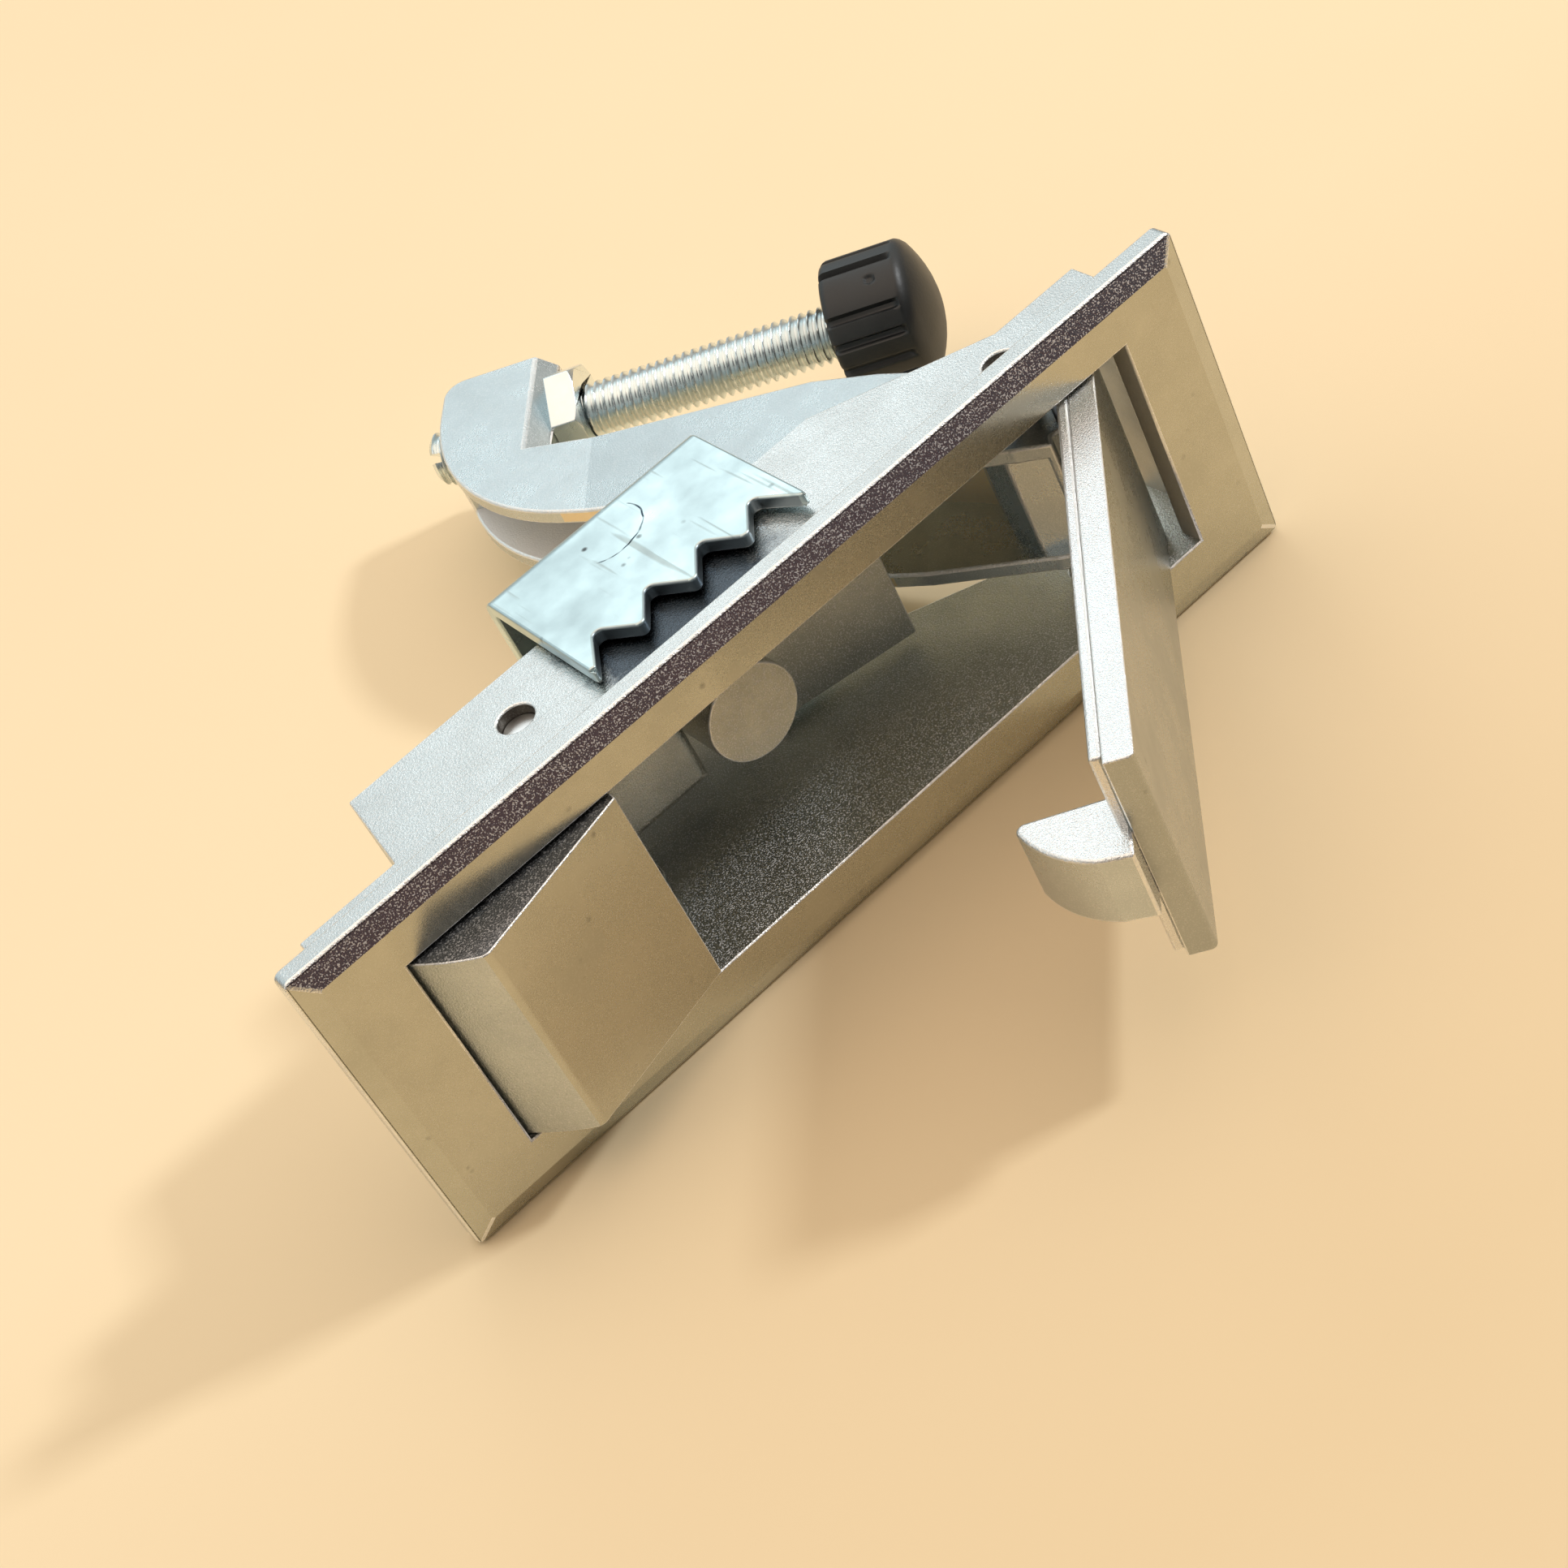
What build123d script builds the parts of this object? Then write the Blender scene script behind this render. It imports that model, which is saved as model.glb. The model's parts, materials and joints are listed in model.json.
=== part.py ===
"""Flush spring latch for a cabinet door, with a lever handle, a push button and an adjusting bolt.

Millimetres. X runs along the bezel towards the handle's pin, Y points into the cabinet and Z runs
across the bezel. The origin is in the middle of the bezel's back face, where it seats on the panel.
The latch is shown released: the handle has sprung open and the button stands proud of the bezel.
"""

import os
from math import cos, hypot, radians, sin

from build123d import *

# Bezel and the box behind it
bezel_length = 102.0
bezel_width = 36.0
bezel_thickness = 2.9
bezel_end_land = 9.0
bezel_side_land = 6.1
bezel_corner_radius = 0.8
bevel_width = 2.2
bevel_depth = 0.9
front = -bezel_thickness
window_length = bezel_length - 2 * bezel_end_land
window_width = bezel_width - 2 * bezel_side_land

wall = 1.6
seat_overhang = 4.2
housing_length = bezel_length - 2 * seat_overhang
housing_width = window_width + 2 * wall
housing_depth = 17.6
handle_end_depth = 9.0
button_pocket_depth = 6.8
pocket_wall_draft = 1.6
floor_front = housing_depth - wall

# Pins: the handle's heel rolls just inside the window, the button's pin lies low over the floor
pin_diameter = 3.6
pin_recess = 0.6
pin_hole_gap = 0.03
running_gap = 0.06
handle_pin_depth = 5.0
cover_outside = handle_pin_depth - front
handle_pin = (window_length / 2 - cover_outside, handle_pin_depth)
button_pin_inset = 22.3
button_pin_height = 4.7
button_pin = (button_pin_inset - window_length / 2, floor_front - button_pin_height)

# Back of the box, open behind the handle's pin for the arm
back_slope_lead = 13.8
back_slope_length = 16.5
pocket_end_lead = 16.7
back_slope_start = handle_pin[0] - back_slope_lead
back_slope_end = back_slope_start + back_slope_length
button_pocket_end = button_pin[0] - pocket_end_lead

# Floor of the recess, its ramp, its slots and the pad beside the button's pin
floor_end_lead = 15.3
floor_end = handle_pin[0] - floor_end_lead
ramp_length = 12.8
ramp_start = floor_end - ramp_length
ramp_rise = 2.8
slot_lead = 3.0
slot_start = ramp_start - slot_lead
slot_width = 1.0
pad_gap = 4.1
pad_length = 9.6
pad_start = button_pin[0] + pad_gap
pad_end = pad_start + pad_length
pad_height = 2.4
pad_width = 16.6
pad_edge_radius = 1.4

# Boss that takes the clamp screw from behind
boss_x = -1.8
boss_diameter = 9.8
boss_height = 9.1
boss_cap = 2.5
boss_front = floor_front - boss_height

# Push button, drawn pressed flush and then turned out to its rest
button_tilt = 14.9
button_end_gap = 0.58
button_relief = 0.35
button_radius = hypot(window_length / 2 + button_pin[0] - button_end_gap, button_pin[1] - front)
button_side_gap = 0.4
button_width = window_width - 2 * button_side_gap
button_top = 2.2
button_shell = 1.8
button_ridge_radius = 1.1
lip_height = (button_pin[1] - front) / cos(radians(button_tilt))
lip_depth = 2.2
skirt_floor_gap = 0.9
skirt_end = button_pocket_depth - wall - skirt_floor_gap
button_lug_radius = 4.0
cheek_wall_gap = 3.4
cheek_step = button_pocket_end + cheek_wall_gap

# Handle and lever, drawn closed about the handle pin and then turned open
handle_open = 50.8
handle_side_gap = 0.3
handle_width = window_width - 2 * handle_side_gap
cover_inside = 5.3
strip_inside = 4.2
handle_end_gap = 1.2
handle_reach = handle_pin[0] - button_pin[0] - handle_end_gap
strip_set_back = 0.8
strip_reach = handle_reach - strip_set_back
heel_sweep = 50.0
end_corner_radius = 0.6

hook_width = 7.5
hook_back = 4.7 - handle_reach
hook_tip = (4.2 - handle_reach, 4.6)
hook_round = (0.3 - handle_reach, 2.0)
hook_shoulder = (-2.2 - handle_reach, -2.2)
hook_nose = -2.5 - handle_reach
hook_tip_radius = 0.8

spring_bay = 4.4
arm_root_width = window_width - 2 * spring_bay
arm_end_width = 9.0
arm_wall = 1.7
arm_root_wall = 0.9
arm_root_end = 14.0
arm_taper_end = 46.0
hub_gap = 0.1
hub_radius = cover_inside - hub_gap
neck_front = -3.6
arm_start = -2.5
arm_front = -5.9
arm_front_bend = (-0.9, 17.5)
arm_corner = (17.9, 64.6)
arm_corner_radius = 25.0
arm_back_bend = (16.5, 21.0)
arm_back_root = (8.6, 3.4)
web = 3.2
channel_end = 27.0

block_start = 51.9
block_end = 64.6
block_inner = 24.0
block_outer = 40.6
block_corner_radius = 2.4
block_edge_radius = 2.0

# Adjusting bolt with its lock nut and knob
bolt_offset = 33.8
bolt_diameter = 6.0
bolt_end = 66.8
bolt_chamfer = 0.7
bolt_slot_width = 1.0
bolt_slot_depth = 1.2
thread_gap = 0.05
nut_across_flats = 10.0
nut_thickness = 3.2
nut_chamfer_height = 0.4
nut_chamfer_width = 0.7
knob_back = 20.6
knob_length = 8.3
knob_dome = 2.5
knob_diameter = 14.4
knob_rim = 0.2
knob_back_chamfer = 0.8
knob_grooves = 12
groove_side = 0.7
groove_stop = 1.0
knob_socket = 5.0

# Clamp bracket behind the panel, with its screw and washers
bracket_middle = -0.35
bracket_length = 25.3
bracket_sheet = 1.5
bracket_side_gap = 0.4
bracket_inside = housing_width + 2 * bracket_side_gap
bracket_back = 26.0
bracket_bend_radius = 2.0
tooth_pitch = 6.2
notches = 4
tooth_tip = 7.1
tooth_root = 11.4
end_tooth_tip = 5.8
tooth_radius = 0.7
bracket_slot_length = 9.0

screw_diameter = 5.0
screw_length = 12.5
screw_head_diameter = 9.2
screw_head_height = 3.4
screw_head_chamfer = 0.7
screw_slot_width = 1.4
screw_slot_depth = 1.5
screw_hole_gap = 0.25
washer_diameter = 11.0
washer_thickness = 1.0
spring_washer_diameter = 9.0
spring_washer_thickness = 1.3
spring_washer_cut = 0.9

# Springs on the two pins, and the rivets that hold the cover to the lever
spring_wire = 0.8
wire_sides = 6
handle_coil_radius = 2.9
handle_coil_pitch = 1.44
spring_side_gap = 0.5
handle_spring_start = arm_root_width / 2 + spring_side_gap
handle_lift_angle = -28.2
handle_stay_angle = 2 * 360 + 70
handle_lift_leg = 4.8
handle_stay_leg = 18.5
button_coil_radius = 3.0
button_coil_pitch = 1.6
button_spring_start = -1.8
button_lift_angle = -30.0
button_stay_angle = 2 * 360 + 79
spring_lift_gap = 0.3
lift_height = button_pin[1] - front - button_top - spring_wire / 2 - spring_lift_gap
lift_lean = radians(button_tilt - button_lift_angle)
button_lift_leg = (lift_height - button_coil_radius * sin(lift_lean)) / cos(lift_lean)
button_stay_leg = 6.8
rivet_diameter = 4.0
rivet_head = 0.8
rivet_heel_gap = 14.0
rivet_end_gap = 12.6
rivet_places = (-rivet_heel_gap, rivet_end_gap - handle_reach)

# Longer than any cut needs to be
past = bolt_end + housing_depth


def slab(points, width):
    """A straight-sided outline in the XY plane, thickened evenly to both sides."""
    return extrude(make_face(Polyline(*points, close=True)), width / 2, both=True)


def about_z(x, y, radius, length):
    """A cylinder along Z, centred on the XY plane."""
    return Pos(x, y, 0) * Cylinder(radius, length)


def along_y(x, start, end, radius):
    """A cylinder along Y between two depths."""
    return Pos(x, (start + end) / 2, 0) * Rot(90, 0, 0) * Cylinder(radius, abs(end - start))


def turned(shape, centre, angle):
    """A shape swung round a pin that runs along Z."""
    return Pos(*centre, 0) * Rot(0, 0, angle) * Pos(-centre[0], -centre[1], 0) * shape


def opened(shape):
    """A shape drawn closed round its own origin, put on the handle pin and swung open."""
    return Pos(*handle_pin, 0) * Rot(0, 0, handle_open) * shape


def corner(sketch, point):
    """The corner of a sketch that lies nearest to a point."""
    return sketch.vertices().sort_by_distance((*point, 0))[0]


def make_housing():
    """One casting: the bezel, the box behind it, the floor, its boss and its pad."""
    bezel = Pos(0, front / 2, 0) * Box(bezel_length, bezel_thickness, bezel_width)
    face = bezel.faces().sort_by(Axis.Y)[0]
    bezel = chamfer(face.edges(), bevel_width, bevel_depth, reference=face)
    bezel = fillet(bezel.edges().filter_by(Axis.Y), bezel_corner_radius)
    bezel -= Pos(0, front / 2, 0) * Box(window_length, 2 * bezel_thickness, window_width)

    half = housing_length / 2
    box = slab(
        [
            (-half, front / 2),
            (-half, button_pocket_depth),
            (button_pocket_end, button_pocket_depth),
            (button_pocket_end + pocket_wall_draft, housing_depth),
            (back_slope_start, housing_depth),
            (back_slope_end, handle_end_depth),
            (half, handle_end_depth),
            (half, front / 2),
        ],
        housing_width,
    )
    inside = half - wall
    hollow_width = housing_width - 2 * wall
    hollow = slab(
        [
            (-inside, 0),
            (-inside, button_pocket_depth - wall),
            (button_pocket_end + wall, button_pocket_depth - wall),
            (button_pocket_end + wall + pocket_wall_draft, floor_front),
            (ramp_start, floor_front),
            (floor_end, floor_front - ramp_rise),
            (floor_end, past),
            (inside, past),
            (inside, 0),
        ],
        hollow_width,
    )
    behind_ramp = slab(
        [
            (ramp_start, housing_depth),
            (floor_end, housing_depth - ramp_rise),
            (floor_end, past),
            (ramp_start, past),
        ],
        hollow_width,
    )
    window = Box(window_length, 2 * bezel_thickness, window_width)
    body = bezel + (box - hollow - behind_ramp - window)
    relief = about_z(*button_pin, button_radius + button_relief, window_width)
    edge = Pos(-window_length / 2, 0, 0) * Box(2 * wall, 2 * bezel_thickness, window_width)
    body -= relief & edge

    slot_length = floor_end - slot_start
    for side in (-1, 1):
        slot_z = side * (hollow_width - slot_width) / 2
        slot = Box(slot_length, 2 * housing_depth, slot_width)
        body -= Pos(slot_start + slot_length / 2, housing_depth, slot_z) * slot

    pad = Box(pad_end - pad_start, pad_height + wall, pad_width)
    pad = Pos((pad_start + pad_end) / 2, floor_front + (wall - pad_height) / 2, 0) * pad
    pad_face = pad.faces().sort_by(Axis.Y)[0]
    pad = fillet(pad_face.edges().sort_by(Axis.X)[1:], pad_edge_radius)
    boss = along_y(boss_x, boss_front, floor_front + wall / 2, boss_diameter / 2)
    body += pad + boss
    body -= along_y(boss_x, boss_front + boss_cap, past, screw_diameter / 2 + thread_gap)
    for pin in (handle_pin, button_pin):
        body -= about_z(*pin, pin_diameter / 2 + pin_hole_gap, 2 * housing_width)
    return body


def make_pin(centre):
    return about_z(*centre, pin_diameter / 2, housing_width - 2 * pin_recess)


def make_button():
    """A cast shell: a flat top, a curved skirt struck from the pin, and two cheeks with pin lugs."""
    px, py = button_pin
    tilt = radians(button_tilt)
    lip = (px - lip_height * sin(tilt), front)
    under_lip = (lip[0] + lip_depth * sin(tilt), front + lip_depth * cos(tilt))
    round_end = Pos(px, py) * Circle(button_radius)
    top = make_face(
        Polyline(
            (px - 2 * button_radius, front),
            lip,
            under_lip,
            (lip[0] - button_shell, front + button_top),
            (px - 2 * button_radius, front + button_top),
            close=True,
        )
    )
    skirt = round_end - Pos(px, py) * Circle(button_radius - button_shell)
    reach = Pos(px - button_radius, (front + skirt_end) / 2)
    skirt &= reach * Rectangle(button_radius, skirt_end - front)
    profile = (top & round_end) + skirt
    ridge = profile.vertices().sort_by(Axis.X).filter_by(lambda v: v.Y < front + button_top / 2)[0]
    profile = fillet(ridge, button_ridge_radius)
    shell = extrude(profile, button_width / 2, both=True)

    cheek = make_face(
        Polyline(
            (px - button_radius + button_shell, front + button_top),
            (lip[0] - button_shell, front + button_top / 2),
            (px + button_lug_radius, py),
            (px, py + button_lug_radius),
            (cheek_step, skirt_end),
            (px - button_radius + button_shell, skirt_end),
            close=True,
        )
    )
    cheek = (cheek & round_end) + Pos(px, py) * Circle(button_lug_radius)
    cheeks = extrude(cheek, button_width / 2, both=True)
    cheeks -= extrude(Pos(px, py) * Circle(past), button_width / 2 - button_shell, both=True)
    button = shell + cheeks
    button -= about_z(px, py, pin_diameter / 2 + running_gap, 2 * housing_width)
    return turned(button, button_pin, button_tilt)


def make_cover():
    """The flat outer plate of the handle, rolled round the pin at its heel."""
    plate_height = cover_outside - cover_inside
    plate = Pos(-handle_reach / 2, -(cover_outside + cover_inside) / 2)
    plate *= Rectangle(handle_reach, plate_height)
    far = 2 * cover_outside
    swing = radians(heel_sweep)
    wedge = make_face(Polyline((0, 0), (0, -far), (far * sin(swing), -far * cos(swing)), close=True))
    profile = plate + ((Circle(cover_outside) - Circle(cover_inside)) & wedge)
    profile = fillet(corner(profile, (-handle_reach, -cover_outside)), end_corner_radius)
    return opened(extrude(profile, handle_width / 2, both=True))


def arm_width_limit(trim):
    """The tapering side view of the arm, as a solid that trims it on both sides."""
    root = arm_root_width / 2 - trim
    end = arm_end_width / 2 - trim
    outline = [
        (-past, -root),
        (arm_root_end, -root),
        (arm_taper_end, -end),
        (2 * past, -end),
        (2 * past, end),
        (arm_taper_end, end),
        (arm_root_end, root),
        (-past, root),
    ]
    return extrude(Plane.YZ * make_face(Polyline(*outline, close=True)), past, both=True)


def make_lever():
    """One casting under the cover: strip, hook, channel-shaped arm and the block for the bolt."""
    strip = Pos(-strip_reach / 2, -(cover_inside + strip_inside) / 2, 0)
    strip *= Box(strip_reach, cover_inside - strip_inside, handle_width)

    arm = make_face(
        Polyline(
            (0, -strip_inside),
            (neck_front, -strip_inside),
            (neck_front, arm_start),
            (arm_front, arm_start),
            arm_front_bend,
            arm_corner,
            (block_outer, block_end),
            (block_outer, block_start),
            (block_inner, block_start),
            arm_back_bend,
            arm_back_root,
            (hub_radius, 0),
            (0, 0),
            close=True,
        )
    )
    arm += Circle(hub_radius)
    arm = fillet(corner(arm, arm_corner), arm_corner_radius)
    arm = fillet(corner(arm, (block_outer, block_end)), block_corner_radius)
    arm = extrude(arm, arm_root_width / 2, both=True) & arm_width_limit(0)

    channel = slab(
        [
            (neck_front, arm_start + arm_root_wall),
            (neck_front, hub_radius / 2),
            (0, hub_radius),
            (arm_back_root[0] - web, arm_back_root[1] + web),
            (arm_back_bend[0] - web, arm_back_bend[1]),
            (block_inner - web, block_start - web),
            (channel_end, block_start + web),
            (channel_end, past + web),
            (-past, past + web),
            (-past, arm_start + arm_root_wall),
        ],
        arm_root_width,
    )
    arm -= channel & arm_width_limit(arm_wall)
    nut_side = arm.faces().filter_by(Axis.Y).sort_by_distance((bolt_offset, block_start, 0))[0]
    arm = fillet(nut_side.edges().filter_by(Axis.X), block_edge_radius)

    top = -cover_inside
    hook_side = Polyline(hook_shoulder, (hook_nose, top), (hook_back, top), hook_tip)
    hook = make_face(hook_side + ThreePointArc(hook_tip, hook_round, hook_shoulder))
    hook = fillet(corner(hook, hook_tip), hook_tip_radius)
    lever = strip + arm + extrude(hook, hook_width / 2, both=True)
    lever -= about_z(0, 0, pin_diameter / 2 + running_gap, 2 * housing_width)
    lever -= along_y(bolt_offset, 0, 2 * past, bolt_diameter / 2 + thread_gap)
    for place in rivet_places:
        lever -= along_y(place, -cover_inside, -strip_inside, rivet_diameter / 2)
    return opened(lever)


def make_rivets():
    """Two pegs from the cover, headed over inside the lever's strip."""
    rivets = []
    for place in rivet_places:
        shank = along_y(place, -cover_inside, -strip_inside, rivet_diameter / 2)
        head = along_y(place, -strip_inside, rivet_head - strip_inside, rivet_diameter / 2 + rivet_head)
        rivets.append(opened(shank + head))
    return Compound(children=rivets)


def make_bolt():
    """The threaded rod through the arm's block, with a screwdriver slot in its end."""
    bolt = along_y(bolt_offset, knob_back - knob_socket, bolt_end, bolt_diameter / 2)
    bolt = chamfer(bolt.edges().sort_by(Axis.Y)[-1], bolt_chamfer)
    slot = Box(bolt_slot_width, 2 * bolt_slot_depth, past)
    return opened(bolt - Pos(bolt_offset, bolt_end, 0) * slot)


def make_nut():
    hexagon = Plane.XZ * RegularPolygon(nut_across_flats / 2, 6, major_radius=False, rotation=30)
    nut = Pos(bolt_offset, block_start, 0) * extrude(hexagon, nut_thickness)
    crown = nut_across_flats / 2 / cos(radians(30))
    cone = Rot(90, 0, 0) * Cylinder(crown, nut_thickness)
    outer_rim = cone.edges().filter_by(GeomType.CIRCLE).sort_by(Axis.Y)[0]
    rim_face = cone.faces().sort_by(Axis.Y)[0]
    cone = chamfer(outer_rim, nut_chamfer_width, nut_chamfer_height, reference=rim_face)
    nut &= Pos(bolt_offset, block_start - nut_thickness / 2, 0) * cone
    return opened(nut - along_y(bolt_offset, 0, past, bolt_diameter / 2 + thread_gap))


def make_knob():
    """The grooved plastic foot on the bolt, with a domed face that bears on the door frame."""
    radius = knob_diameter / 2
    rim = knob_back - knob_length
    apex = rim - knob_dome
    knob = along_y(0, apex, knob_back, radius)
    knob = chamfer(knob.edges().sort_by(Axis.Y)[-1], knob_back_chamfer)
    dome_radius = ((radius + knob_rim) ** 2 + knob_dome**2) / (2 * knob_dome)
    knob &= Pos(0, apex + dome_radius, 0) * Sphere(dome_radius)
    groove_length = knob_length - groove_stop
    groove = Box(groove_side, 2 * groove_length, groove_side)
    groove = Pos(radius, knob_back, 0) * Rot(0, 45, 0) * groove
    for i in range(knob_grooves):
        knob -= Rot(0, 360 / knob_grooves * i, 0) * groove
    knob = Pos(bolt_offset, 0, 0) * knob
    return opened(knob - along_y(bolt_offset, knob_back - knob_socket, past, bolt_diameter / 2))


def make_bracket():
    """A U of pressed steel sheet, with a zigzag edge on both cheeks that bites the panel."""
    half = bracket_length / 2
    teeth = [(-half, end_tooth_tip)]
    first_root = (1 - notches) / 2 * tooth_pitch
    for i in range(notches):
        root = first_root + i * tooth_pitch
        teeth.append((root, tooth_root))
        teeth.append((root + tooth_pitch / 2, tooth_tip))
    teeth[-1] = (half, end_tooth_tip)
    profile = make_face(Polyline(*teeth, (half, bracket_back), (-half, bracket_back), close=True))
    inner_teeth = [corner(profile, point) for point in teeth[1:-1]]
    profile = fillet(inner_teeth, tooth_radius)
    width = bracket_inside + 2 * bracket_sheet
    bracket = extrude(profile, width / 2, both=True)
    bends = bracket.edges().filter_by(Axis.X).group_by(Axis.Y)[-1]
    bracket = fillet(bends, bracket_bend_radius)
    space_end = bracket_back - bracket_sheet
    space = Box(2 * bracket_length, past, bracket_inside)
    inner_bends = space.edges().filter_by(Axis.X).group_by(Axis.Y)[-1]
    space = fillet(inner_bends, bracket_bend_radius - bracket_sheet)
    bracket -= Pos(0, space_end - past / 2, 0) * space
    slot = Plane.XZ * SlotOverall(bracket_slot_length, screw_diameter + 2 * screw_hole_gap)
    bracket -= Pos(boss_x - bracket_middle, 0, 0) * extrude(slot, past, both=True)
    return Pos(bracket_middle, 0, 0) * bracket


def make_washer():
    end = bracket_back + washer_thickness
    washer = along_y(boss_x, bracket_back, end, washer_diameter / 2)
    return washer - along_y(boss_x, bracket_back, end, screw_diameter / 2 + screw_hole_gap)


def make_spring_washer():
    start = bracket_back + washer_thickness
    end = start + spring_washer_thickness
    ring = along_y(boss_x, start, end, spring_washer_diameter / 2)
    ring -= along_y(boss_x, start, end, screw_diameter / 2 + screw_hole_gap)
    cut = Box(spring_washer_cut, spring_washer_thickness, spring_washer_diameter)
    place = Pos(boss_x, (start + end) / 2, spring_washer_diameter / 2)
    return ring - place * cut


def make_screw():
    """The clamp screw, driven from behind the bracket into the boss."""
    seat = bracket_back + washer_thickness + spring_washer_thickness
    top = seat + screw_head_height
    head = along_y(boss_x, seat, top, screw_head_diameter / 2)
    head = chamfer(head.edges().sort_by(Axis.Y)[-1], screw_head_chamfer)
    screw = head + along_y(boss_x, seat - screw_length, seat, screw_diameter / 2)
    slot = Box(past, 2 * screw_slot_depth, screw_slot_width)
    return screw - Pos(boss_x, top, 0) * slot


def make_spring(radius, pitch, first_angle, last_angle, first_leg, last_leg):
    """A coil of wire round Z between two angles, with a straight leg at each end."""
    turns = (last_angle - first_angle) / 360
    path = Helix(pitch, pitch * turns, radius)
    section = Plane(path @ 0, z_dir=path % 0) * RegularPolygon(spring_wire / 2, wire_sides)
    spring = Rot(0, 0, first_angle) * sweep(section, path, is_frenet=True)
    legs = ((first_angle, 0, -first_leg), (last_angle, pitch * turns, last_leg))
    for angle, height, reach in legs:
        leg = Rot(90, 0, 0) * Cylinder(spring_wire / 2, abs(reach))
        spring += Rot(0, 0, angle) * Pos(radius, reach / 2, height) * leg
    return spring


def make_handle_spring():
    """The torsion spring beside the arm: one leg lifts the strip, the other lies in a floor slot."""
    spring = make_spring(
        handle_coil_radius,
        handle_coil_pitch,
        handle_lift_angle,
        handle_stay_angle,
        handle_lift_leg,
        handle_stay_leg,
    )
    return Pos(*handle_pin, handle_spring_start) * spring


def make_button_spring():
    """The torsion spring inside the button: one leg lifts its top, the other stands on the floor."""
    spring = make_spring(
        button_coil_radius,
        button_coil_pitch,
        button_lift_angle,
        button_stay_angle,
        button_lift_leg,
        button_stay_leg,
    )
    return Pos(*button_pin, button_spring_start) * spring


nodes = {
    "housing": make_housing(),
    "handle_pin": make_pin(handle_pin),
    "button_pin": make_pin(button_pin),
    "push_button": make_button(),
    "handle_cover": make_cover(),
    "latch_lever": make_lever(),
    "handle_rivets": make_rivets(),
    "adjusting_bolt": make_bolt(),
    "lock_nut": make_nut(),
    "bolt_knob": make_knob(),
    "clamp_bracket": make_bracket(),
    "clamp_washer": make_washer(),
    "clamp_spring_washer": make_spring_washer(),
    "clamp_screw": make_screw(),
    "handle_spring": make_handle_spring(),
    "button_spring": make_button_spring(),
}

os.makedirs("parts", exist_ok=True)
for name, shape in nodes.items():
    export_step(shape, f"parts/{name}.step")
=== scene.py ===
"""The look of the cabinet spring latch: plating, worn edges with painted highlights, threads, floor, light and
camera.
"""
import json
import math

import bmesh
import bpy
from mathutils import Matrix, Vector


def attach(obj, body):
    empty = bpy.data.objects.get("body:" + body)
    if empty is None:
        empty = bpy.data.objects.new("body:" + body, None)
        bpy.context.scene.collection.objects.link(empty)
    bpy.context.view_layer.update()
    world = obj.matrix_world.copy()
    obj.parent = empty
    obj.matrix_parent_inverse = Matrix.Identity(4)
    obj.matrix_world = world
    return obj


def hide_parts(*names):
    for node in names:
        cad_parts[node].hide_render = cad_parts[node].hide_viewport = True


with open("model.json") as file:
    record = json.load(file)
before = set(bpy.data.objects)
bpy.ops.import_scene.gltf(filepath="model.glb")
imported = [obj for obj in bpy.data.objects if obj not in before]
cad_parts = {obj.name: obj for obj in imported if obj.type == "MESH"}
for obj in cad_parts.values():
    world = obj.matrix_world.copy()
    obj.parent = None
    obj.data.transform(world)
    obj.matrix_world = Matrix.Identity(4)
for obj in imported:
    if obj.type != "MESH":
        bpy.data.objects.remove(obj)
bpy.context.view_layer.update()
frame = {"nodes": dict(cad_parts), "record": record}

MM = 0.001
BODY_OF = {node: body for body, nodes in frame["record"]["behaviour"]["bodies"].items() for node in nodes}

# Where the handle's pieces are, in millimetres: drawn closed about the pin, then turned open
HANDLE_PIN = Vector((34.1, 5.0, 0.0))
HANDLE_OPEN = math.radians(50.8)
BOLT_OFFSET = 33.8
BOLT_FROM, BOLT_TO = 15.6, 66.8
BOLT_RADIUS, BOLT_PITCH = 3.0, 1.0
SLOT_TURN = math.radians(41.4)
SLOT_WIDTH, SLOT_DEPTH, SLOT_LENGTH = 1.0, 1.2, 10.0
BLOCK_START, BLOCK_INNER, BLOCK_WIDTH, BLOCK_CHAMFER, BLOCK_LEAN = 51.9, 24.0, 9.0, 2.0, 0.243
KNOB_BACK, KNOB_APEX, KNOB_RADIUS, DOME_RADIUS = 20.6, 9.8, 7.2, 12.2

# The two pins and the springs on them, and the clamp's teeth
PINS = (HANDLE_PIN.xy, Vector((-19.7, 11.3)))
PIN_SUNK = 0.6
WIRE = 0.8
HANDLE_COIL_RADIUS, HANDLE_COIL_START, HANDLE_LIFT_ANGLE = 2.9, 8.0, -28.2
BUTTON_COIL_RADIUS, BUTTON_COIL_START, BUTTON_LIFT_ANGLE = 3.0, -1.8, -30.0
TOOTH_TIP, TOOTH_ROOT, TIP_WEAR = 5.8, 12.5, 1.4
CLAMP_MIDDLE, CLAMP_INNER_TEETH = -0.35, 12.0

# Where the plating changes, in millimetres: on the housing, then on the closed handle
BEZEL_FRONT, UPPER_LAND, WINDOW_WALL, PIN_HOLE = -1.9, 11.0, 41.0, 2.2
RECESS_LENGTH, RECESS_WIDTH, RECESS_FRONT, RECESS_BACK = 44.0, 11.95, -2.8, 16.5
STRIP_BACK, HOOK_SIDE, ARM_BEND = -4.0, -40.0, 30.0
CHANNEL_SIDE, CHANNEL_FRONT, CHANNEL_BACK = 4.0, 2.0, 48.0

# How much of a face's direction points one way, from 0 to 1
HARDLY, SLIGHTLY, PARTLY, HALF, MOSTLY, NEARLY_ALL = 0.1, 0.2, 0.3, 0.5, 0.8, 0.9

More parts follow.
